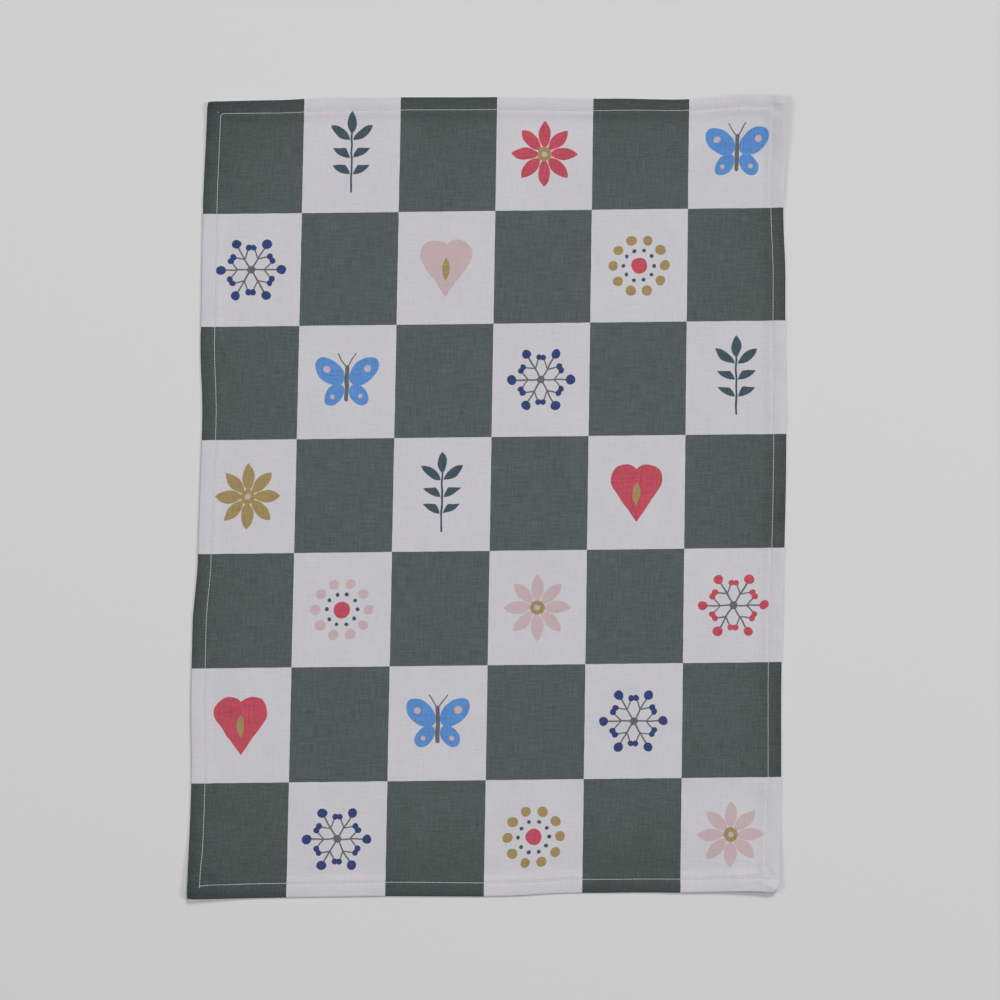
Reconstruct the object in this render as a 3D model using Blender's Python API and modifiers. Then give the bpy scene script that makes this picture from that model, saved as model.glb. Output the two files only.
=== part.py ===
"""A tea towel lying flat: one sheet of printed cotton, hemmed on all four sides.

Metres, +Z up. The surface that it lies on is Z = 0, +X is across the towel and +Y is along it.
The cloth is a little out of square, its edges wander, and its corners stand off the surface.
"""

import bmesh
import bpy
import numpy as np

MM = 0.001

# Driving sizes, of the finished towel pulled square
WIDTH = 500 * MM
LENGTH = 680 * MM
FIELD_THICKNESS = 1.0 * MM
HEM_THICKNESS = 1.8 * MM  # the cloth is turned twice, so the hem is three layers
HEM_WIDTH = 13 * MM
HEM_STEP = 3 * MM  # where the cloth comes down from the hem to the field
EDGE_ROUND = 0.4 * MM

# The grid that the sheet is made on
HEM_LINES = (0, 3 * MM, 7 * MM, HEM_WIDTH, HEM_WIDTH + HEM_STEP)  # measured in from the edge
FIELD_CELL = 20 * MM  # at most

# How each corner lies, in millimetres: shift_x and shift_y move it off the square outline, pull
# rounds it by drawing its point in, lift is its height off the surface, and reach is how far
# from the corner the lift begins.
CORNER_COLUMNS = ("side_x", "side_y", "shift_x", "shift_y", "pull", "lift", "reach")
CORNERS = (
    (-1, +1, 3.0, -3.7, 1.0, 1.6, 80),
    (+1, +1, 0.0, 4.5, 0.6, 4.2, 100),
    (-1, -1, -10.5, -1.5, 0.5, 3.2, 90),
    (+1, -1, -10.5, 2.3, 2.0, 3.6, 85),
)
PULL_REACH = 8 * MM

# How far each edge stands out from the straight line between its corners, in millimetres. Along
# is the share of the way from the edge's left or lower corner. The corners themselves stay put.
EDGE_COLUMNS = ("along", "bow")
EDGES = {
    "left": ((0.14, -0.9), (0.26, 1.3), (0.34, 1.4), (0.42, -1.5), (0.60, -2.3), (0.70, 0.9), (0.87, 1.7)),
    "right": ((0.13, 1.8), (0.25, 1.1), (0.54, 3.5), (0.76, 1.4), (0.86, -0.8), (0.95, 1.0)),
    "bottom": ((0.32, -0.4), (0.52, 0.8), (0.65, -1.4), (0.75, -1.2), (0.85, -0.7), (0.95, -1.3)),
    "top": ((0.11, 0.9), (0.22, 2.6), (0.50, 1.5), (0.69, -0.9), (0.82, -2.4), (0.92, 1.0)),
}
BOW_REACH = 90 * MM  # the field further in than this has none of an edge's bow

# Finish
CLOTH_COLOUR = (0.52, 0.51, 0.54, 1.0)
CLOTH_ROUGHNESS = 0.9


def smooth(share):
    """0 up to 0, 1 from 1 on, and a smooth rise between them."""
    share = np.clip(share, 0.0, 1.0)
    return share * share * (3 - 2 * share)


def table(columns, rows):
    return [dict(zip(columns, values, strict=True)) for values in rows]


def bow(edge, along):
    """How far an edge stands out at this share of its length, eased from row to row."""
    ends = ((0.0, 0.0), (1.0, 0.0))
    rows = table(EDGE_COLUMNS, (ends[0], *EDGES[edge], ends[1]))
    for start, end in zip(rows, rows[1:]):
        if along <= end["along"]:
            break
    share = (along - start["along"]) / (end["along"] - start["along"])
    return (start["bow"] + (end["bow"] - start["bow"]) * smooth(share)) * MM


def near_edge(depth):
    """1 at an edge, and 0 from BOW_REACH inside it."""
    return 1 - smooth(depth / BOW_REACH)


def laid_out(across, along):
    """Where a point of the square cloth lies: its x, its y and its height off the surface."""
    share_x = across / WIDTH + 0.5
    share_y = along / LENGTH + 0.5
    x, y, lift = across, along, 0.0
    for corner in table(CORNER_COLUMNS, CORNERS):
        weight_x = share_x if corner["side_x"] > 0 else 1 - share_x
        weight_y = share_y if corner["side_y"] > 0 else 1 - share_y
        x += weight_x * weight_y * corner["shift_x"] * MM
        y += weight_x * weight_y * corner["shift_y"] * MM
        away = np.hypot(corner["side_x"] * WIDTH / 2 - across, corner["side_y"] * LENGTH / 2 - along)
        pull = corner["pull"] * MM * (1 - smooth(away / PULL_REACH))
        x -= corner["side_x"] * pull
        y -= corner["side_y"] * pull
        lift += corner["lift"] * MM * smooth(1 - away / (corner["reach"] * MM)) ** 2
    x -= bow("left", share_y) * near_edge(across + WIDTH / 2)
    x += bow("right", share_y) * near_edge(WIDTH / 2 - across)
    y -= bow("bottom", share_x) * near_edge(along + LENGTH / 2)
    y += bow("top", share_x) * near_edge(LENGTH / 2 - along)
    return x, y, lift


def grid_lines(size):
    """Grid lines across a side of this size: close together in both hems, even in the field."""
    field_start, field_end = HEM_LINES[-1], size - HEM_LINES[-1]
    cells = int(np.ceil((field_end - field_start) / FIELD_CELL))
    field = np.linspace(field_start, field_end, cells + 1)
    far_hem = [size - line for line in reversed(HEM_LINES)]
    return np.array([*HEM_LINES[:-1], *field, *far_hem[1:]]) - size / 2


def layers_at(across, along):
    """The sheet's thickness at a point of the square cloth, as a share of the hem's."""
    depth = min(WIDTH / 2 - abs(across), LENGTH / 2 - abs(along))
    field_share = FIELD_THICKNESS / HEM_THICKNESS
    return 1 - (1 - field_share) * smooth((depth - HEM_WIDTH) / HEM_STEP)


def underside():
    """The open sheet that is the towel's underside, and the thickness share of each of its points."""
    lines_x, lines_y = grid_lines(WIDTH), grid_lines(LENGTH)
    cells_x, cells_y = len(lines_x) - 1, len(lines_y) - 1
    grid = bmesh.new()
    bmesh.ops.create_grid(grid, x_segments=cells_x, y_segments=cells_y, size=1)
    shares = []
    for vertex in grid.verts:
        # create_grid runs from -1 to 1 both ways, in even steps
        across = lines_x[round((vertex.co.x + 1) / 2 * cells_x)]
        along = lines_y[round((vertex.co.y + 1) / 2 * cells_y)]
        shares.append(layers_at(across, along))
        vertex.co = laid_out(across, along)
    mesh = bpy.data.meshes.new("cloth")
    grid.to_mesh(mesh)
    grid.free()
    return mesh, shares


def centre(mesh):
    """Moves the mesh so that its box is centred on the Z axis."""
    points = np.array([vertex.co for vertex in mesh.vertices])
    middle = (points.min(axis=0) + points.max(axis=0)) / 2
    for vertex in mesh.vertices:
        vertex.co.x -= middle[0]
        vertex.co.y -= middle[1]


def printed_cotton():
    material = bpy.data.materials.new("printed_cotton")
    material.use_nodes = True
    shader = material.node_tree.nodes["Principled BSDF"]
    shader.inputs["Base Color"].default_value = CLOTH_COLOUR
    shader.inputs["Roughness"].default_value = CLOTH_ROUGHNESS
    shader.inputs["Metallic"].default_value = 0.0
    return material


def make_cloth(collection):
    """The whole towel: one sheet, thicker along its hems."""
    mesh, shares = underside()
    centre(mesh)
    cloth = bpy.data.objects.new("cloth", mesh)
    collection.objects.link(cloth)
    mesh.materials.append(printed_cotton())

    layers = cloth.vertex_groups.new(name="layers")
    for index, share in enumerate(shares):
        layers.add([index], share, "REPLACE")

    thickness = cloth.modifiers.new("thickness", "SOLIDIFY")
    thickness.thickness = HEM_THICKNESS
    thickness.offset = 1
    thickness.vertex_group = layers.name

    folded_edge = cloth.modifiers.new("folded_edge", "BEVEL")
    folded_edge.width = EDGE_ROUND
    folded_edge.segments = 2
    folded_edge.limit_method = "ANGLE"
    folded_edge.angle_limit = np.radians(60)


def main():
    for existing in list(bpy.data.objects):
        bpy.data.objects.remove(existing)
    collection = bpy.data.collections.new("tea_towel")
    bpy.context.scene.collection.children.link(collection)
    make_cloth(collection)


main()
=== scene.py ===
"""The looks of a tea towel lying flat: printed cotton, its hem and stitching, floor, light and camera.

Metres, +Z up. The floor is Z = 0, +X is across the towel and +Y is along it. A point of the cloth is
named by where it is on the finished towel pulled square: across and along, from the towel's centre.
"""

import math

import bpy
import numpy as np
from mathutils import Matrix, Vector


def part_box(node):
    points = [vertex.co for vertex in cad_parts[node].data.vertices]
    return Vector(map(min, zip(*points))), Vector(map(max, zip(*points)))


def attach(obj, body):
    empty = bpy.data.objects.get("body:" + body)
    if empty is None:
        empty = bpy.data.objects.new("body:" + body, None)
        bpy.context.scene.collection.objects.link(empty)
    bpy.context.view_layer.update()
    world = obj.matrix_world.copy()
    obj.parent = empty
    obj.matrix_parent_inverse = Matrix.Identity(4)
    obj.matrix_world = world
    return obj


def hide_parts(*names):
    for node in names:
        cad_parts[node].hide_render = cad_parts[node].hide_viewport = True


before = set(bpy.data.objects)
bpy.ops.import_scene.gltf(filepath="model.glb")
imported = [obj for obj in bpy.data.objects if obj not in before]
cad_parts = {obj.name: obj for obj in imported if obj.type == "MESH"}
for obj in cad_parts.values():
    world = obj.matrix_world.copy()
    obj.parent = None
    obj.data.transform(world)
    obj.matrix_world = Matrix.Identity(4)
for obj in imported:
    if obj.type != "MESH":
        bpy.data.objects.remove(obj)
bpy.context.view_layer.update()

MM = 0.001

# The finished towel pulled square
WIDTH = 500 * MM
LENGTH = 680 * MM
CLOTH_THICKNESS = 0.6 * MM
HEM_THICKNESS = 1.5 * MM
HEM_WIDTH = 13 * MM
HEM_RAMP = 7 * MM  # where the single cloth comes down from the hem to the floor
HEM_CROWN = 0.25 * MM  # how much the hem swells between its fold and its stitching
CROWN_WIDTH = 10 * MM
CORNER_BULK = 0.5 * MM  # the extra turns of cloth in a corner
BULK_REACH = 6 * MM  # how far from the corner they are all there
BULK_RAMP = 12 * MM  # where they come down beyond that
FOLD_RADIUS = HEM_THICKNESS / 2
STEP_WIDTH = 0.2 * MM  # where the reverse steps up at the turned hem's inner edge

# How each corner lies, in millimetres: shift_x and shift_y move it off the square outline, pull
# rounds it by drawing its point in, lift is its height off the floor, and reach is how far from
# the corner the lift begins.
CORNER_COLUMNS = ("side_x", "side_y", "shift_x", "shift_y", "pull", "lift", "reach")
CORNERS = (
    (-1, +1, 3.0, -3.7, 0.5, 1.6, 80),
    (+1, +1, -0.8, 4.6, 0.4, 4.2, 100),
    (-1, -1, -10.5, -1.5, 0.5, 3.2, 90),
    (+1, -1, -10.7, 2.0, 1.8, 3.6, 85),
)
PULL_REACH = 6 * MM  # how far from a corner its pull is felt

# How far each edge stands out from the straight line between its corners, in millimetres, by the
# share of the way from the edge's left or lower corner. At the corners it is 0.
EDGE_BOWS = {
    "left": ((0.14, -0.9), (0.26, 1.3), (0.34, 1.4), (0.42, -1.5), (0.60, -2.3), (0.70, 0.9), (0.87, 1.7)),
    "right": ((0.13, 1.9), (0.25, 1.3), (0.54, 3.9), (0.76, 2.0), (0.86, -0.4), (0.95, 0.9)),
    "bottom": ((0.32, -0.4), (0.52, 0.8), (0.65, -1.4), (0.75, -1.2), (0.85, -0.7), (0.95, -1.3)),
    "top": ((0.11, 0.9), (0.22, 2.6), (0.50, 1.5), (0.69, -0.9), (0.82, -2.4), (0.92, 1.0)),
}
BOW_REACH = 90 * MM  # how far in from its edge a bow is felt

# How far in from each edge its stitching runs, in millimetres, by the share of the way along
STITCH_LINES = {
    "left": ((0, 10.2), (0.03, 10.5), (0.06, 11.6), (0.42, 11.4), (0.60, 11.9), (0.85, 12.0), (1, 11.7)),
    "right": ((0, 11.2), (0.30, 11.4), (0.45, 10.9), (0.80, 10.7), (0.90, 11.1), (1, 10.8)),
    "bottom": ((0, 10.9), (0.05, 11.8), (0.13, 12.1), (0.40, 11.8), (0.55, 11.4), (1, 11.4)),
    "top": ((0, 10.7), (0.14, 11.5), (0.40, 11.0), (0.68, 10.6), (0.78, 9.8), (1, 10.4)),
}
STITCH_LENGTH = 2.5 * MM
CORNER_TURN = 2.2 * MM  # the upper left corner is sewn round from this far off, the others square
CORNER_CUT = 0.35  # how near its point that turn passes, as a share of CORNER_TURN
BACK_TACK = ((-3.0, 1.6), (-1.9, 0.5))  # from the stitching's upper left corner, in millimetres
THREAD_TAIL = (0.1, -1.5)  # from the stitching's lower left corner, in millimetres
STITCH_WANDER = 0.06 * MM  # how far a stitch may lie off its line
STITCH_SEED = 5
# One stitch from end to end: shares of its length, and of the thread's radius
STITCH_COLUMNS = ("along", "height", "girth")
STITCH_PROFILE = (
    (-0.5, -0.9, 0.7),
    (-0.38, 0.4, 0.95),
    (0.0, 0.8, 1.0),
    (0.38, 0.4, 0.95),
    (0.5, -0.9, 0.7),
)
HEIGHT_WANDER = 0.15  # how unevenly high the stitches stand, as a share of the thread's radius
THREAD_SIDES = 6
THREAD_RADIUS = 0.26 * MM
STITCH_GROOVE = 0.35 * MM  # how deep the thread pulls the cloth in
GROOVE_WIDTH = 0.9 * MM

# How strongly each side's stitching puckers it
PUCKERS = {"left": 0.8, "right": 1.4, "bottom": 0.9, "top": 0.7}
PUCKER_HEIGHT = 0.28 * MM
PUCKER_REACH = 16 * MM  # to either side of the stitching, where about an eighth is left
# Two sizes of pucker, in millimetres along the stitching and away from it; each side adds its own
# number to the seed
PUCKER_COLUMNS = ("run", "away", "share", "seed")
PUCKER_SIZES = (
    (9, 24, 1.0, 11),
    (4.5, 15, 0.45, 21),
)

# Uneven rises all over the cloth between its hems: broad ones, and small ones over those
BROAD_WIDTH, BROAD_LENGTH, BROAD_HEIGHT = 110 * MM, 130 * MM, 0.5 * MM
SMALL_WIDTH, SMALL_LENGTH, SMALL_HEIGHT = 38 * MM, 46 * MM, 0.12 * MM
BROAD_START, SMALL_START = (7, 3), (20, 20)  # which of the noise's hills lies at the towel's middle
BROAD_SEED, SMALL_SEED = 1, 2
RISE_REACH = 30 * MM  # how far in from the hem they stand in full
DEEPEST = -0.35 * MM  # the lowest that any hollow goes

# Soft ridges and, with a height below 0, troughs, in millimetres from the towel's centre
CREASE_COLUMNS = ("across_1", "along_1", "across_2", "along_2", "width", "height")
CREASES = (
    (233, 338, 234, 258, 3.2, -1.3),  # down the inside of the right hem
    (226, 326, 246, 327, 4.0, -0.9),
    (252, 340, 252, 244, 9.0, 1.5),  # the upper right edge stands off the floor
    (166, 340, 163, 316, 4.0, 0.5),
    (238, -318, 247, -329, 1.8, -0.6),  # a small tuck in the lower right corner
    (231, -330, 247, -336, 2.0, 0.5),
    (150, -342, 236, -342, 9.0, 0.9),  # the lower right edge stands off the floor
    (120, 296, 168, 262, 11.0, -0.7),
    (204, -317, 240, -314, 2.4, 0.3),  # short wrinkles in the lower right corner
    (208, -325, 241, -322, 2.2, 0.3),
    (214, -332, 236, -331, 2.0, 0.25),
    (178, -196, 182, -252, 8.0, 0.7),
    (204, -194, 206, -246, 7.0, 0.6),
    (230, -192, 229, -250, 7.0, 0.6),
    (88, -192, 246, -184, 11.0, 0.9),
    (-236, 300, -190, 322, 9.0, 0.4),
    (-244, -300, -214, -330, 9.0, 0.5),
)

# The print: a chequer of this many columns and rows
COLUMNS, ROWS = 6, 7
CELL_WIDTH = WIDTH / COLUMNS
CELL_LENGTH = LENGTH / ROWS
# What is printed in each light cell, from the top: a motif and a dye
CHART = (
    ".. Lt .. Sr .. Ys",
    "Bb .. Hp .. Om ..",
    ".. Ys .. Bb .. Lt",
    "Sm .. Lt .. Hr ..",
    ".. Op .. Sp .. Br",
    "Hr .. Ys .. Bb ..",
    ".. Bb .. Om .. Sp",
)
MOTIFS = "LSYBHO"  # leaf sprig, star flower, butterfly, star of berries, heart, ring of dots
NO_MOTIF = -1
DYES = {
    "r": (0.60, 0.085, 0.125),
    "p": (0.64, 0.49, 0.51),
    "m": (0.41, 0.295, 0.125),
    "b": (0.038, 0.062, 0.20),
    "s": (0.115, 0.30, 0.68),
    "t": (0.062, 0.10, 0.122),
    "g": (0.15, 0.15, 0.155),
}
GROUND = (0.70, 0.685, 0.727)
GREEN = (0.103, 0.129, 0.124)
# Painted shade: how much of the green's light its colour loses at each edge, and the depth over which that
# fades, in mm
EDGE_SHADE_COLUMNS = ("side", "near", "near_reach", "far", "far_reach")
EDGE_SHADES = (
    ("left", 0.22, 9, 0.18, 42),
    ("right", 0.26, 10, 0.18, 40),
    ("bottom", 0.20, 8, 0.29, 60),
    ("top", 0.25, 12, 0.21, 45),
)
REVERSE = (0.70, 0.69, 0.71)

# The grid that the cloth is made on: lines in from each edge, in millimetres, with the turned hem's
# step between 13 and 13.2, and then even cells
HEM_LINES = (0, 0.08, 0.3, 0.75, 1.6, 3, 4.5, 6, 7.5, 9, 10, 11, 12, 13, 13.2, 14, 15, 16.5, 18, 20)
FIELD_CELL = 3.6 * MM
SHARP_ANGLE = math.radians(45)
MAP_GAP = 0.003  # round each face's half of the square map


def smooth(share):
    """0 up to 0, 1 from 1 on, and a smooth rise between them."""
    share = np.clip(share, 0.0, 1.0)
    return share * share * (3 - 2 * share)


def table(columns, rows):
    """The rows of a table, each value under its column's name."""
    return [dict(zip(columns, values, strict=True)) for values in rows]


def eased(rows, at):
    """The second column of a table at these places in its first, eased from row to row."""
    places, values = np.array(rows, float).T
    after = np.clip(np.searchsorted(places, at), 1, len(places) - 1)
    share = smooth((at - places[after - 1]) / (places[after] - places[after - 1]))
    return values[after - 1] + (values[after] - values[after - 1]) * share


def uneven(x, y, seed):
    """Smooth, seeded noise from -1 to 1, with one hill or hollow for each unit of x and y."""
    count = 64
    heights = np.random.default_rng(seed).uniform(-1, 1, (count, count))
    column, row = np.floor(x).astype(int), np.floor(y).astype(int)
    right, up = smooth(x - column), smooth(y - row)
    corner = [[heights[(column + i) % count, (row + j) % count] for j in (0, 1)] for i in (0, 1)]
    low = corner[0][0] * (1 - right) + corner[1][0] * right
    high = corner[0][1] * (1 - right) + corner[1][1] * right
    return low * (1 - up) + high * up


def sides(across, along):
    """For each side: how far in from its edge a point is, and its share of the way along it."""
    share_x = across / WIDTH + 0.5
    share_y = along / LENGTH + 0.5
    return {
        "left": (across + WIDTH / 2, share_y),
        "right": (WIDTH / 2 - across, share_y),
        "bottom": (along + LENGTH / 2, share_x),
        "top": (LENGTH / 2 - along, share_x),
    }


def from_edge(across, along):
    return np.minimum.reduce([depth for depth, _ in sides(across, along).values()])


def bow(side, across, along):
    """How far the side's bow moves a point out of the square."""
    depth, share = sides(across, along)[side]
    rows = ((0, 0), *EDGE_BOWS[side], (1, 0))
    return eased(rows, share) * MM * (1 - smooth(depth / BOW_REACH))


def stitch_depth(side, share):
    """How far in from its edge a side's stitching runs, by the share of the way along."""
    return eased(STITCH_LINES[side], share) * MM


def laid_out(across, along):
    """Where a point of the square cloth lies: its x, its y and its height off the floor."""
    x, y, lift = across.copy(), along.copy(), np.zeros_like(across)
    share_x = across / WIDTH + 0.5
    share_y = along / LENGTH + 0.5
    for corner in table(CORNER_COLUMNS, CORNERS):
        weight_x = share_x if corner["side_x"] > 0 else 1 - share_x
        weight_y = share_y if corner["side_y"] > 0 else 1 - share_y
        x += weight_x * weight_y * corner["shift_x"] * MM
        y += weight_x * weight_y * corner["shift_y"] * MM
        away = np.hypot(corner["side_x"] * WIDTH / 2 - across, corner["side_y"] * LENGTH / 2 - along)
        pull = corner["pull"] * MM * (1 - smooth(away / PULL_REACH))
        x -= corner["side_x"] * pull
        y -= corner["side_y"] * pull
        lift += corner["lift"] * MM * smooth(1 - away / (corner["reach"] * MM)) ** 2
    x += bow("right", across, along) - bow("left", across, along)
    y += bow("top", across, along) - bow("bottom", across, along)
    return x, y, lift


def creases(across, along):
    """How high the ridges and troughs stand, each fading out over its ends."""
    height = np.zeros_like(across)
    for crease in table(CREASE_COLUMNS, CREASES):
        start = np.array((crease["across_1"], crease["along_1"])) * MM
        run = np.array((crease["across_2"], crease["along_2"])) * MM - start
        length = np.hypot(*run)
        forward = ((across - start[0]) * run[0] + (along - start[1]) * run[1]) / length
        sideways = ((across - start[0]) * run[1] - (along - start[1]) * run[0]) / length
        end = length / 3
        fade = smooth(forward / end + 0.5) * smooth((length - forward) / end + 0.5)
        height += crease["height"] * MM * fade * np.exp(-((sideways / (crease["width"] * MM)) ** 2))
    return height


def stitch_puckers(across, along):
    """How high the cloth puckers along its stitching."""
    height = np.zeros_like(across)
    for number, (side, (depth, share)) in enumerate(sides(across, along).items()):
        run = share * (LENGTH if side in ("left", "right") else WIDTH)
        near = np.exp(-2 * ((depth - stitch_depth(side, share)) / PUCKER_REACH) ** 2)
        waves = np.zeros_like(across)
        for size in table(PUCKER_COLUMNS, PUCKER_SIZES):
            wave = uneven(run / (size["run"] * MM), depth / (size["away"] * MM), size["seed"] + number)
            waves += size["share"] * wave
        height += PUCKER_HEIGHT * PUCKERS[side] * near * waves
    return height


def relief(across, along):
    """How far the cloth stands off where it would lie flat."""
    broad = uneven(across / BROAD_WIDTH + BROAD_START[0], along / BROAD_LENGTH + BROAD_START[1], BROAD_SEED)
    small = uneven(across / SMALL_WIDTH + SMALL_START[0], along / SMALL_LENGTH + SMALL_START[1], SMALL_SEED)
    rises = BROAD_HEIGHT * (1 + broad) + SMALL_HEIGHT * small
    inside = smooth((from_edge(across, along) - HEM_WIDTH) / RISE_REACH)
    return np.maximum(rises * inside + creases(across, along) + stitch_puckers(across, along), DEEPEST)


def groove(across, along):
    """How far the thread pulls the hem in, from either face."""
    places = sides(across, along).items()
    away = np.minimum.reduce([np.abs(depth - stitch_depth(side, share)) for side, (depth, share) in places])
    return STITCH_GROOVE * np.exp(-((away / GROOVE_WIDTH) ** 2))


def hem_height(across, along):
    """The printed face's height over a hem with no relief, and over the field beside it."""
    depth = from_edge(across, along)
    ramp = smooth((depth - HEM_WIDTH) / HEM_RAMP)
    top = HEM_THICKNESS + (CLOTH_THICKNESS - HEM_THICKNESS) * ramp
    crown = np.sin(np.pi * np.clip(depth / CROWN_WIDTH, 0, 1))
    to_corner = np.hypot(WIDTH / 2 - np.abs(across), LENGTH / 2 - np.abs(along))
    bulk = CORNER_BULK * (1 - smooth((to_corner - BULK_REACH) / BULK_RAMP))
    return top + HEM_CROWN * crown + bulk * (1 - ramp)


def fold_round(depth):
    """1 inside the hem, falling round to 0 at the very edge, as a fold does."""
    inward = np.clip(depth / FOLD_RADIUS, 0, 1)
    return np.sqrt(1 - (1 - inward) ** 2)


def face_heights(across, along):
    """Heights of the printed face and of the reverse over the floor at these points."""
    depth = from_edge(across, along)
    lift = laid_out(across, along)[2]
    top = hem_height(across, along)
    raised = relief(across, along)
    pulled = groove(across, along)
    # Over the hem a ridge lifts both faces and the fold between them
    in_hem = 1 - smooth((depth - HEM_WIDTH) / HEM_RAMP)
    lift = lift + np.maximum(raised, 0) * in_hem
    raised = raised - np.maximum(raised, 0) * in_hem
    middle = HEM_THICKNESS / 2
    face = middle + (top - pulled + raised - middle) * fold_round(depth)
    over_field = np.where(depth > HEM_WIDTH + STEP_WIDTH / 2, top - CLOTH_THICKNESS + raised, pulled)
    reverse = middle + (np.maximum(over_field, 0) - middle) * fold_round(depth)
    return face + lift, reverse + lift


def evenly(start, end):
    """Even grid lines from start up to, but not at, end."""
    return np.linspace(start, end, math.ceil((end - start) / FIELD_CELL) + 1)[:-1]


def grid_lines(size, cells):
    """Grid lines across a side: close together in the hems, then even, with one at each cell's edge."""
    hem = np.array(HEM_LINES) * MM
    edges = np.linspace(0, size, cells + 1)
    edges[0], edges[-1] = hem[-1], size - hem[-1]
    field = [evenly(start, end) for start, end in zip(edges, edges[1:])]
    return np.concatenate([hem[:-1], *field, (size - hem)[::-1]]) - size / 2


def cell_of(place, size, cells):
    """Which of a side's cells a place is in."""
    return np.clip(((place / size + 0.5) * cells).astype(int), 0, cells - 1)


def chart_cells():
    """The motif's number and the dye in each cell of the chequer, by column and by row from the bottom."""
    motif = np.full((COLUMNS, ROWS), NO_MOTIF)
    dye = np.zeros((COLUMNS, ROWS, 3))
    for row, line in enumerate(reversed(CHART)):
        for column, entry in enumerate(line.split()):
            if entry != "..":
                motif[column, row] = MOTIFS.index(entry[0])
                dye[column, row] = DYES[entry[1]]
    return motif, dye


def new_object(name, vertices, faces):
    mesh = bpy.data.meshes.new(name)
    mesh.from_pydata(vertices.tolist(), [], faces)
    mesh.shade_smooth()
    piece = bpy.data.objects.new(name, mesh)
    bpy.context.scene.collection.objects.link(piece)
    return piece


def place_shift(across, along):
    """What moves the laid-out cloth so that its lower left reaches as far as its CAD node's."""
    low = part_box("cloth")[0]
    x, y = laid_out(across, along)[:2]
    return low.x - x.min(), low.y - y.min()


def quads(values):
    """A grid's values at the four corners of each of its cells."""
    corners = (values[:-1, :-1], values[1:, :-1], values[1:, 1:], values[:-1, 1:])
    return np.stack(corners, -1).reshape(-1, 4)


def on_both_faces(values):
    """A grid's values at the corners of the printed face's cells and then of the reverse's."""
    return np.concatenate([quads(values), quads(values)[:, ::-1]])


def make_cloth():
    """One closed mesh: the printed face, the reverse with its turned hem, and the fold between them."""
    across, along = np.meshgrid(grid_lines(WIDTH, COLUMNS), grid_lines(LENGTH, ROWS), indexing="ij")
    shift_x, shift_y = place_shift(across, along)
    x, y = laid_out(across, along)[:2]
    x, y = x + shift_x, y + shift_y
    face_z, reverse_z = face_heights(across, along)

    face_index = np.arange(across.size).reshape(across.shape)
    reverse_index = face_index.copy()  # the two faces share the points of the outer fold
    inner = (slice(1, -1), slice(1, -1))
    reverse_index[inner] = across.size + np.arange(x[inner].size).reshape(x[inner].shape)
    vertices = np.concatenate([
        np.stack([x, y, face_z], -1).reshape(-1, 3),
        np.stack([x[inner], y[inner], reverse_z[inner]], -1).reshape(-1, 3),
    ])
    faces = np.concatenate([quads(face_index), quads(reverse_index)[:, ::-1]])
    cloth = new_object("towel_cloth", vertices, faces.tolist())
    mark_cloth(cloth.data, across, along)
    return cloth, (shift_x, shift_y)


def add_map(mesh, name, u, v):
    layer = mesh.uv_layers.new(name=name)
    layer.uv.foreach_set("vector", np.stack([u, v], -1).astype(np.float32).ravel())


def mark_cloth(mesh, across, along):
    """Lays the cloth's own coordinates, its motifs and its two materials on its faces."""
    across, along = on_both_faces(across), on_both_faces(along)
    middle_across, middle_along = across.mean(1), along.mean(1)
    on_reverse = np.arange(len(across)) >= len(across) / 2
    depth_x = WIDTH / 2 - np.abs(middle_across)
    depth_y = LENGTH / 2 - np.abs(middle_along)
    turned_hem = on_reverse & (np.minimum(depth_x, depth_y) < HEM_WIDTH)

    # The turned hem shows the printed face, which goes on past the towel's edge
    print_across, print_along = across.copy(), along.copy()
    turned_x = turned_hem & (depth_x < depth_y)
    turned_y = turned_hem & ~turned_x
    print_across[turned_x] = np.sign(middle_across[turned_x])[:, None] * WIDTH - print_across[turned_x]
    print_along[turned_y] = np.sign(middle_along[turned_y])[:, None] * LENGTH - print_along[turned_y]
    add_map(mesh, "Cloth", print_across / WIDTH + 0.5, print_along / LENGTH + 0.5)

    # The faces side by side in one square, so that both get the same share of it
    share_across = across / WIDTH + 0.5
    map_width = 0.5 - 2 * MAP_GAP
    face_u = MAP_GAP + map_width * share_across
    reverse_u = 0.5 + MAP_GAP + map_width * (1 - share_across)
    map_v = along / LENGTH * (1 - 2 * MAP_GAP) + 0.5
    add_map(mesh, "OFBake", np.where(on_reverse[:, None], reverse_u, face_u), map_v)
    mesh.uv_layers.active = mesh.uv_layers["Cloth"]
    mesh.uv_layers["Cloth"].active_render = True

    motif, dye = chart_cells()
    column, row = cell_of(middle_across, WIDTH, COLUMNS), cell_of(middle_along, LENGTH, ROWS)
    face_motif = np.where(turned_hem, NO_MOTIF, motif[column, row]).astype(np.float32)
    face_dye = np.concatenate([dye[column, row], np.ones((len(column), 1))], -1).astype(np.float32)
    mesh.attributes.new("motif", "FLOAT", "FACE").data.foreach_set("value", face_motif)
    mesh.attributes.new("dye", "FLOAT_COLOR", "FACE").data.foreach_set("color", face_dye.ravel())
    # The unprinted part of the reverse takes the second material
    mesh.polygons.foreach_set("material_index", (on_reverse & ~turned_hem).astype(np.int32))
    mesh.set_sharp_from_angle(angle=SHARP_ANGLE)


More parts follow.
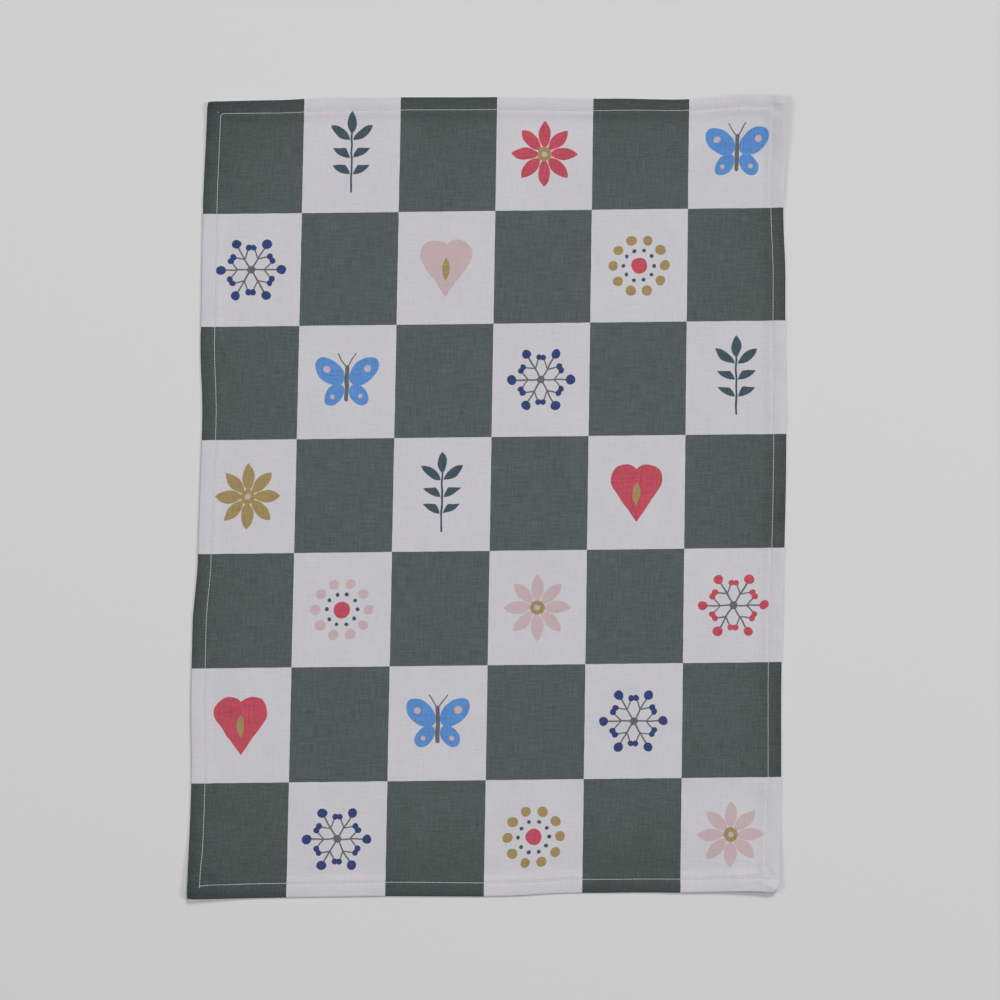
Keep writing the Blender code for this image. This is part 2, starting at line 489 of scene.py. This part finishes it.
def stitch_runs():
    """The stitching as runs of needle holes, in across and along from the towel's centre."""
    left, right, bottom, top = -WIDTH / 2, WIDTH / 2, -LENGTH / 2, LENGTH / 2
    low_left, low_right = bottom + stitch_depth("bottom", 0), bottom + stitch_depth("bottom", 1)
    high_left, high_right = top - stitch_depth("top", 0), top - stitch_depth("top", 1)
    low_start, low_end = left + stitch_depth("left", 0), right - stitch_depth("right", 0)
    high_start, high_end = left + stitch_depth("left", 1), right - stitch_depth("right", 1)

    def upright(side, low, high):
        along = np.linspace(low, high, round((high - low) / STITCH_LENGTH) + 1)
        depth = stitch_depth(side, along / LENGTH + 0.5)
        return np.stack([left + depth if side == "left" else right - depth, along], -1)

    def level(side, start, end):
        across = np.linspace(start, end, round((end - start) / STITCH_LENGTH) + 1)
        depth = stitch_depth(side, across / WIDTH + 0.5)
        return np.stack([across, bottom + depth if side == "bottom" else top - depth], -1)

    upper_left = np.array((high_start, high_left))
    lower_left = np.array((low_start, low_left))
    turn = np.array(((0, -1), (CORNER_CUT, -CORNER_CUT), (1, 0))) * CORNER_TURN
    return [
        upright("left", low_left, high_left - CORNER_TURN),
        upper_left + turn,
        upper_left + np.array(BACK_TACK) * MM,
        level("top", high_start + CORNER_TURN, high_end),
        upright("right", low_right, high_right),
        level("bottom", low_start, low_end),
        lower_left + np.array(((0, 0), THREAD_TAIL)) * MM,
    ]


def thread_faces(stitches):
    """The faces of this many lengths of thread, each a row of rings with a cap at both ends."""
    ring = range(THREAD_SIDES)
    count = len(STITCH_PROFILE) * THREAD_SIDES
    one = []
    for low in range(0, count - THREAD_SIDES, THREAD_SIDES):
        high = low + THREAD_SIDES
        for side in ring:
            after = (side + 1) % THREAD_SIDES
            one.append((low + side, high + side, high + after, low + after))
    one += [tuple(ring), tuple(count - 1 - side for side in ring)]
    return [tuple(corner + count * stitch for corner in face) for stitch in range(stitches) for face in one]


def make_stitches(name, shift, on_face):
    """Every stitch of one face, as short lengths of thread that dive into the cloth at both ends."""
    runs = stitch_runs()
    starts = np.concatenate([run[:-1] for run in runs])
    ends = np.concatenate([run[1:] for run in runs])
    wander = np.random.default_rng(STITCH_SEED).uniform(-1, 1, (len(starts), 2))
    step = ends - starts
    length = np.hypot(step[:, 0], step[:, 1])
    forward = step / length[:, None]
    sideways = np.stack([-forward[:, 1], forward[:, 0]], -1)
    middle = (starts + ends) / 2 + sideways * wander[:, :1] * STITCH_WANDER

    rings = []
    for part in table(STITCH_COLUMNS, STITCH_PROFILE):
        across, along = (middle + forward * (part["along"] * length)[:, None]).T
        face, reverse = face_heights(across, along)
        rise = (part["height"] + HEIGHT_WANDER * wander[:, 1]) * THREAD_RADIUS
        z = face + rise if on_face else np.maximum(reverse - rise, THREAD_RADIUS)
        x, y = laid_out(across, along)[:2]
        girth = part["girth"] * THREAD_RADIUS
        for side in range(THREAD_SIDES):
            angle = side / THREAD_SIDES * 2 * np.pi
            out = math.cos(angle) * girth
            rings.append(np.stack([
                x + shift[0] + sideways[:, 0] * out,
                y + shift[1] + sideways[:, 1] * out,
                z + math.sin(angle) * girth,
            ], -1))
    return new_object(name, np.stack(rings, 1).reshape(-1, 3), thread_faces(len(starts)))


# ---- Materials ----


class Value:
    """A number that changes over a surface: a node's output, with arithmetic that adds Math nodes."""

    def __init__(self, tree, socket):
        self.tree, self.socket = tree, socket

    def math(self, operation, *others):
        node = self.tree.nodes.new("ShaderNodeMath")
        node.operation = operation
        for place, term in zip(node.inputs, (self, *others)):
            set_or_link(self.tree, place, term)
        return Value(self.tree, node.outputs[0])

    def __add__(self, other):
        return self.math("ADD", other)

    def __sub__(self, other):
        return self.math("SUBTRACT", other)

    def __mul__(self, other):
        return self.math("MULTIPLY", other)

    def __truediv__(self, other):
        return self.math("DIVIDE", other)

    def __abs__(self):
        return self.math("ABSOLUTE")


def set_or_link(tree, place, term):
    if isinstance(term, Value):
        tree.links.new(term.socket, place)
    else:
        place.default_value = term


def length(x, y):
    return (x * x + y * y).math("SQRT")


def least(*values):
    found = values[0]
    for value in values[1:]:
        found = found.math("MINIMUM", value)
    return found


def most(a, b):
    return a.math("MAXIMUM", b)


def clamped(value, low, high):
    return value.math("MAXIMUM", low).math("MINIMUM", high)


def rise(value, start, end):
    """0 where value is at start, 1 where it is at end, and smooth between."""
    node = value.tree.nodes.new("ShaderNodeMapRange")
    node.interpolation_type = "SMOOTHSTEP"
    set_or_link(value.tree, node.inputs["Value"], value)
    node.inputs["From Min"].default_value = start
    node.inputs["From Max"].default_value = end
    return Value(value.tree, node.outputs["Result"])


def noise(x, y, wide, long, detail=0.0):
    """Noise from 0 to 1, with spots of this width and length."""
    tree = x.tree
    place = tree.nodes.new("ShaderNodeCombineXYZ")
    set_or_link(tree, place.inputs[0], x / wide)
    set_or_link(tree, place.inputs[1], y / long)
    node = tree.nodes.new("ShaderNodeTexNoise")
    node.noise_dimensions = "2D"
    node.inputs["Scale"].default_value = 1.0
    node.inputs["Detail"].default_value = detail
    tree.links.new(place.outputs[0], node.inputs["Vector"])
    return Value(tree, node.outputs[0])


def mixed(tree, share, first, second):
    """Between two colours, each a Value or three numbers."""
    node = tree.nodes.new("ShaderNodeMix")
    node.data_type = "RGBA"
    set_or_link(tree, node.inputs["Factor"], share)
    for name, colour in (("A", first), ("B", second)):
        place = next(s for s in node.inputs if s.name == name and s.type == "RGBA")
        set_or_link(tree, place, colour if isinstance(colour, Value) else (*colour, 1.0))
    return Value(tree, next(s for s in node.outputs if s.type == "RGBA"))


# Shapes, each as the distance outside its outline, in millimetres


CENTRE = (0, 0)


def disc(x, y, at, radius):
    return length(x - at[0], y - at[1]) - radius


def turned(x, y, at, degrees):
    """Coordinates from a point, with y pointing this far clockwise from up."""
    sine, cosine = math.sin(math.radians(degrees)), math.cos(math.radians(degrees))
    x, y = x - at[0], y - at[1]
    return x * cosine - y * sine, x * sine + y * cosine


def leaf(x, y, at, degrees, long, wide):
    """A pointed oval: where two discs overlap."""
    x, y = turned(x, y, at, degrees)
    radius = (long * long + wide * wide) / (4 * wide)
    return length(abs(x) + (radius - wide / 2), y) - radius


def oval(x, y, at, degrees, long, wide):
    x, y = turned(x, y, at, degrees)
    return (length(x / (wide / 2), y / (long / 2)) - 1.0) * (wide / 2)


def stalk(x, y, start, end, girth):
    """A straight stroke with round ends."""
    run = (end[0] - start[0], end[1] - start[1])
    square = run[0] ** 2 + run[1] ** 2
    x, y = x - start[0], y - start[1]
    share = clamped(x * (run[0] / square) + y * (run[1] / square), 0.0, 1.0)
    return length(x - share * run[0], y - share * run[1]) - girth / 2


def spokes(x, y, count):
    """Coordinates that repeat round the centre: out along the nearest spoke, and aside from it."""
    angle = y.math("ARCTAN2", x)
    step = 2 * math.pi / count
    aside = angle - (angle / step).math("ROUND") * step
    out = length(x, y)
    return out * aside.math("COSINE"), out * aside.math("SINE")


# Motifs. Each is a list of what is printed, in order: the distance outside its outline, and its dye.
# OWN stands for the dye that the chart gives.
OWN = "own"


def leaf_sprig(x, y):
    half = abs(x)
    lowest, apart, last_tier = -15.0, 14.0, 2.0
    tier = clamped(((y - lowest) / apart).math("ROUND"), 0.0, last_tier)
    leaves = leaf(half, y - lowest - tier * apart, at=(9.5, 5.5), degrees=52, long=21, wide=7.6)
    tip = leaf(half, y, at=(0, 27), degrees=0, long=19, wide=8)
    stem = stalk(half, y, start=(0, -31), end=(0, 20), girth=1.7)
    return [(stem, OWN), (least(leaves, tip), OWN)]


def star_flower(x, y):
    out, aside = spokes(x, y, 8)
    petals = leaf(out, aside, at=(16.5, 0), degrees=90, long=24, wide=10.5)
    ring, eye = disc(x, y, CENTRE, radius=6.2), disc(x, y, CENTRE, radius=2.4)
    return [(petals, OWN), (ring, "m"), (eye, "p")]


def butterfly(x, y):
    half = abs(x)
    upper_wing = oval(half, y, at=(14.5, 9), degrees=48, long=30, wide=19)
    lower_wing = oval(half, y, at=(10.5, -11), degrees=140, long=21, wide=14)
    upper_spot = disc(half, y, at=(17.5, 11), radius=3.0)
    lower_spot = disc(half, y, at=(12, -12.5), radius=2.0)
    body = stalk(half, y, start=(0, -15), end=(0, 13), girth=3.6)
    feeler = stalk(half, y, start=(0, 12), end=(7.5, 24), girth=1.1)
    return [
        (least(upper_wing, lower_wing), OWN),
        (least(upper_spot, lower_spot), "p"),
        (least(body, feeler), "g"),
    ]


def berry_star(x, y):
    out, aside = spokes(x, y, 6)
    aside = abs(aside)
    twig = stalk(out, aside, start=CENTRE, end=(23, 0), girth=1.4)
    side_twig = stalk(out, aside, start=(11, 0), end=(16.5, 6.5), girth=1.2)
    end_berry = disc(out, aside, at=(25.5, 0), radius=4.0)
    side_berry = disc(out, aside, at=(17.5, 7.8), radius=2.6)
    boss = disc(x, y, CENTRE, radius=3.4)
    return [(least(twig, side_twig), "g"), (least(end_berry, side_berry), OWN), (boss, "g")]


def heart(x, y):
    half = abs(x)
    foot, shoulder = -25.0, 3.5  # the straight sides run from one to the other
    slope = math.radians(35.3)  # of those sides from upright
    straight = most(half * math.cos(slope) - (y - foot) * math.sin(slope), y - shoulder)
    lobe = disc(half, y, at=(9.5, 11), radius=13)
    seed = leaf(half, y, at=(0, -1), degrees=0, long=20, wide=6.5)
    return [(least(lobe, straight), OWN), (seed, "m")]


def ring_of_dots(x, y):
    out, aside = spokes(x, y, 10)
    outer = disc(out, aside, at=(22.5, 0), radius=4.3)
    inner = disc(out, aside, at=(13.2, 0), radius=1.7)
    middle = disc(x, y, CENTRE, radius=7.0)
    return [(outer, OWN), (inner, "t"), (middle, "r")]


DRAWN = (leaf_sprig, star_flower, butterfly, berry_star, heart, ring_of_dots)  # in the order of MOTIFS
PRINT_EDGE = 0.22  # how soft the print's outline is, in millimetres
PRINT_WAVE = 1.5  # the most that an outline wanders from one side to the other, in millimetres
WAVE_SIZE = 11  # from one such wander to the next
CELL_WAVE = 0.2  # how much of it the cells' straight edges have
SHADE_REACH_SIZE = 30  # from one uneven place in the painted edge shade to the next
BLACK = (0.0, 0.0, 0.0)


def attribute(tree, name, output):
    node = tree.nodes.new("ShaderNodeAttribute")
    node.attribute_name = name
    return Value(tree, node.outputs[output])


def cloth_place(tree):
    """Across and along on the cloth from its centre, in millimetres."""
    uv = tree.nodes.new("ShaderNodeUVMap")
    uv.uv_map = "Cloth"
    parts = tree.nodes.new("ShaderNodeSeparateXYZ")
    tree.links.new(uv.outputs[0], parts.inputs[0])
    u, v = Value(tree, parts.outputs[0]), Value(tree, parts.outputs[1])
    return (u - 0.5) * (WIDTH / MM), (v - 0.5) * (LENGTH / MM)


def painted_edge_shade(x, y):
    """Painted shade: the share of the green's light that its colour loses towards the hems."""
    far_x, far_y = WIDTH / MM / 2, LENGTH / MM / 2
    depths = {"left": x + far_x, "right": x * -1.0 + far_x, "bottom": y + far_y, "top": y * -1.0 + far_y}
    uneven_reach = noise(x, y, SHADE_REACH_SIZE, SHADE_REACH_SIZE) * 0.5 + 0.75
    kept = None
    for edge in table(EDGE_SHADE_COLUMNS, EDGE_SHADES):
        depth = abs(depths[edge["side"]]) * -1.0 * uneven_reach
        near = (depth / edge["near_reach"]).math("EXPONENT") * edge["near"]
        far = (depth / edge["far_reach"]).math("EXPONENT") * edge["far"]
        share = (near + far) * -1.0 + 1.0
        kept = share if kept is None else kept * share
    return kept * -1.0 + 1.0


def print_colour(tree, x, y):
    """The chequer and its motifs, with painted shade on the green towards the hems."""
    cell_width, cell_length = CELL_WIDTH / MM, CELL_LENGTH / MM
    wave_x = (noise(x, y, WAVE_SIZE, WAVE_SIZE) - 0.5) * PRINT_WAVE
    wave_y = (noise(y, x, WAVE_SIZE, WAVE_SIZE) - 0.5) * PRINT_WAVE

    column = ((x + wave_x * CELL_WAVE) / cell_width + COLUMNS / 2).math("FLOOR")
    row = ((y + wave_y * CELL_WAVE) / cell_length + ROWS / 2).math("FLOOR")
    dark = ((column + row) * 0.5).math("FRACT").math("LESS_THAN", 0.25)
    # painted shade: the green is darkened towards each hem
    green = mixed(tree, painted_edge_shade(x, y), GREEN, BLACK)
    colour = mixed(tree, dark, GROUND, green)

    motif = attribute(tree, "motif", "Fac")
    own_dye = attribute(tree, "dye", "Color")
    local_x = ((x / cell_width + COLUMNS / 2).math("FRACT") - 0.5) * cell_width + wave_x
    local_y = ((y / cell_length + ROWS / 2).math("FRACT") - 0.5) * cell_length + wave_y
    for number, draw in enumerate(DRAWN):
        chosen = motif.math("COMPARE", float(number), 0.1)
        for distance, dye in draw(local_x, local_y):
            inked = rise(distance * -1.0, -PRINT_EDGE, PRINT_EDGE) * chosen
            colour = mixed(tree, inked, colour, own_dye if dye == OWN else DYES[dye])
    return colour


# The weave, in millimetres
WARP_PITCH, WEFT_PITCH = 0.62, 0.68
YARN_RUN = 16.0  # how far a yarn keeps its thickness
SLUB = 1.5
BLOTCH_WIDTH, BLOTCH_LENGTH = 34, 41
FLECK_WIDTH, FLECK_LENGTH = 1.3, 1.8
# How much each of them changes the colour's lightness
PALE_YARNS, DARK_YARNS = 0.11, 0.34  # on any dye, and how much more on a dark one
BLOTCHES = 0.05
# painted light and shade: the weave's crowns made lighter and its hollows darker in the colour
PAINTED_CROWN_LIGHT, MEAN_CROWN = 0.08, 0.4
FLECKS = 0.035  # how much of the ground shows through a fleck
PRINT_THROUGH = 0.16  # how much of the print shows on the reverse
WEAVE_DEPTH = 0.12 * MM
SHEEN = 0.12

PLY_WIDTH, PLY_LENGTH = 0.25, 0.9  # of the thread, in millimetres
SOILED_SIZE = 30
PLY_DEPTH = 0.05 * MM
THREAD_SHADES = ((0.66, 0.67, 0.66), (0.80, 0.80, 0.79))


def new_material(name):
    material = bpy.data.materials.new(name)
    material.use_nodes = True
    return material, material.node_tree, material.node_tree.nodes["Principled BSDF"]


def add_bump(tree, shader, height, strength, distance):
    bump = tree.nodes.new("ShaderNodeBump")
    bump.inputs["Strength"].default_value = strength
    bump.inputs["Distance"].default_value = distance
    tree.links.new(height.socket, bump.inputs["Height"])
    tree.links.new(bump.outputs["Normal"], shader.inputs["Normal"])


def weave(x, y):
    """The height of the plain weave's crowns, and how thick each yarn and each slub is."""
    crowns = abs((x * (math.pi / WARP_PITCH)).math("SINE") * (y * (math.pi / WEFT_PITCH)).math("SINE"))
    yarns = (noise(x, y, WARP_PITCH, YARN_RUN) + noise(x, y, YARN_RUN, WEFT_PITCH)) * 0.5
    slubs = (noise(x, y, SLUB, YARN_RUN) + noise(x, y, YARN_RUN, SLUB)) * 0.5
    return crowns, yarns, slubs


def flecks(x, y):
    """Small spots, longer one way or the other: 1 in the middle of each and 0 between them."""
    upright = noise(x, y, FLECK_WIDTH, FLECK_LENGTH)
    level = noise(x, y, FLECK_LENGTH, FLECK_WIDTH) - 0.5
    return rise(upright + level * 0.6, 0.5, 0.85)


def dark_share(colour):
    """1 for a dark dye and 0 for the pale ground."""
    grey = colour.tree.nodes.new("ShaderNodeRGBToBW")
    colour.tree.links.new(colour.socket, grey.inputs[0])
    return rise(Value(colour.tree, grey.outputs[0]), 0.5, 0.2)


def scaled(colour, factor):
    node = colour.tree.nodes.new("ShaderNodeVectorMath")
    node.operation = "SCALE"
    colour.tree.links.new(colour.socket, node.inputs[0])
    colour.tree.links.new(factor.socket, node.inputs["Scale"])
    return Value(colour.tree, node.outputs[0])


def cotton(name, colour_of):
    """A Principled material with the cloth's weave; colour_of makes the colour before the weave's own."""
    material, tree, shader = new_material(name)
    x, y = cloth_place(tree)
    crowns, yarns, slubs = weave(x, y)
    colour = colour_of(tree, x, y)

    contrast = dark_share(colour) * DARK_YARNS + PALE_YARNS
    light = (yarns - 0.5) * contrast + (slubs - 0.5) * contrast
    light = light + (noise(x, y, BLOTCH_WIDTH, BLOTCH_LENGTH) - 0.5) * BLOTCHES
    # painted light and shade: lighter on the weave's crowns, darker in its hollows
    light = light + (crowns - MEAN_CROWN) * PAINTED_CROWN_LIGHT + 1.0
    worn = mixed(tree, flecks(x, y) * FLECKS, scaled(colour, light), GROUND)
    tree.links.new(worn.socket, shader.inputs["Base Color"])

    add_bump(tree, shader, crowns * 0.5 + yarns * 0.35 + slubs * 0.6, 0.3, WEAVE_DEPTH)
    rough = (crowns * -0.06) + 0.93
    tree.links.new(rough.socket, shader.inputs["Roughness"])
    shader.inputs["Specular IOR Level"].default_value = 0.25
    shader.inputs["Sheen Weight"].default_value = SHEEN
    shader.inputs["Sheen Roughness"].default_value = 0.5
    return material


def reverse_colour(tree, x, y):
    """The unprinted side: the ground, with the print showing faintly through."""
    return mixed(tree, PRINT_THROUGH, REVERSE, print_colour(tree, x, y))


def thread_material():
    material, tree, shader = new_material("sewing_thread")
    place = tree.nodes.new("ShaderNodeTexCoord")
    parts = tree.nodes.new("ShaderNodeSeparateXYZ")
    tree.links.new(place.outputs["Object"], parts.inputs[0])
    x, y = (Value(tree, parts.outputs[i]) / MM for i in (0, 1))
    plies = noise(x + y * 0.8, y - x * 0.8, PLY_WIDTH, PLY_LENGTH)
    soiled = noise(x, y, SOILED_SIZE, SOILED_SIZE)
    colour = mixed(tree, plies * 0.6 + soiled * 0.4, *THREAD_SHADES)
    tree.links.new(colour.socket, shader.inputs["Base Color"])
    add_bump(tree, shader, plies, 0.4, PLY_DEPTH)
    shader.inputs["Roughness"].default_value = 0.7
    shader.inputs["Sheen Weight"].default_value = 0.15
    return material


# ---- Stage ----

# A soft key from beyond the towel's top edge, one lamp to each side, and one overhead
LAMP_COLUMNS = ("name", "x", "y", "z", "size", "power")
LAMPS = (
    ("key", 3.0, 8.4, 9.0, 4.0, 690),
    ("right", 5.4, 0.2, 4.25, 1.9, 128),
    ("left", -4.2, 0.3, 3.6, 1.8, 56),
    ("overhead", -0.05, 0.1, 2.3, 0.9, 3.3),
)


FLOOR_SIZE = 4.0
FLOOR_GAP = 0.1 * MM  # between the floor and the lowest of the cloth
FLOOR_GREY = 0.80
SKY_STRENGTH = 0.12
CAMERA_PLACE = (-0.0365, -0.0819, 1.7751)
CAMERA_TURN = (2.432, -1.445, -0.025)  # in degrees
LENS, SENSOR_WIDTH = 75, 36  # in millimetres


def make_floor():
    bpy.ops.mesh.primitive_plane_add(size=FLOOR_SIZE, location=(0, 0, -FLOOR_GAP))
    floor = bpy.context.object
    floor.name = "floor"
    material, tree, shader = new_material("pale_floor")
    shader.inputs["Base Color"].default_value = (FLOOR_GREY, FLOOR_GREY, FLOOR_GREY, 1.0)
    shader.inputs["Roughness"].default_value = 0.9
    shader.inputs["Specular IOR Level"].default_value = 0.2
    floor.data.materials.append(material)
    return floor


def make_lamp(name, x, y, z, size, power):
    light = bpy.data.lights.new(name, "AREA")
    light.shape = "DISK"
    light.size = size
    light.energy = power
    lamp = bpy.data.objects.new(name, light)
    lamp.location = (x, y, z)
    lamp.rotation_euler = aimed((x, y, z))
    bpy.context.scene.collection.objects.link(lamp)


def aimed(at):
    """The rotation that points a lamp at the towel's middle."""
    return (-Vector(at)).to_track_quat("-Z", "Y").to_euler()


def make_camera():
    """Nearly straight above the towel."""
    camera = bpy.data.cameras.new("camera")
    camera.lens = LENS
    camera.sensor_width = SENSOR_WIDTH
    holder = bpy.data.objects.new("camera", camera)
    holder.location = CAMERA_PLACE
    holder.rotation_euler = [math.radians(angle) for angle in CAMERA_TURN]
    bpy.context.scene.collection.objects.link(holder)
    bpy.context.scene.camera = holder


def make_world():
    world = bpy.data.worlds.new("studio")
    world.use_nodes = True
    background = world.node_tree.nodes["Background"]
    background.inputs["Color"].default_value = (1.0, 1.0, 1.0, 1.0)
    background.inputs["Strength"].default_value = SKY_STRENGTH
    bpy.context.scene.world = world


cloth, shift = make_cloth()
cloth.data.materials.append(cotton("printed_cotton", print_colour))
cloth.data.materials.append(cotton("cotton_reverse", reverse_colour))
face_stitches = make_stitches("stitches_face", shift, True)
reverse_stitches = make_stitches("stitches_reverse", shift, False)
thread = thread_material()
for stitches in (face_stitches, reverse_stitches):
    stitches.data.materials.append(thread)

floor = make_floor()
for lamp in table(LAMP_COLUMNS, LAMPS):
    make_lamp(**lamp)
make_world()
make_camera()
bpy.context.scene.view_settings.view_transform = "Standard"

for piece in (cloth, face_stitches, reverse_stitches):
    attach(piece, "root")
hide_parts("cloth")
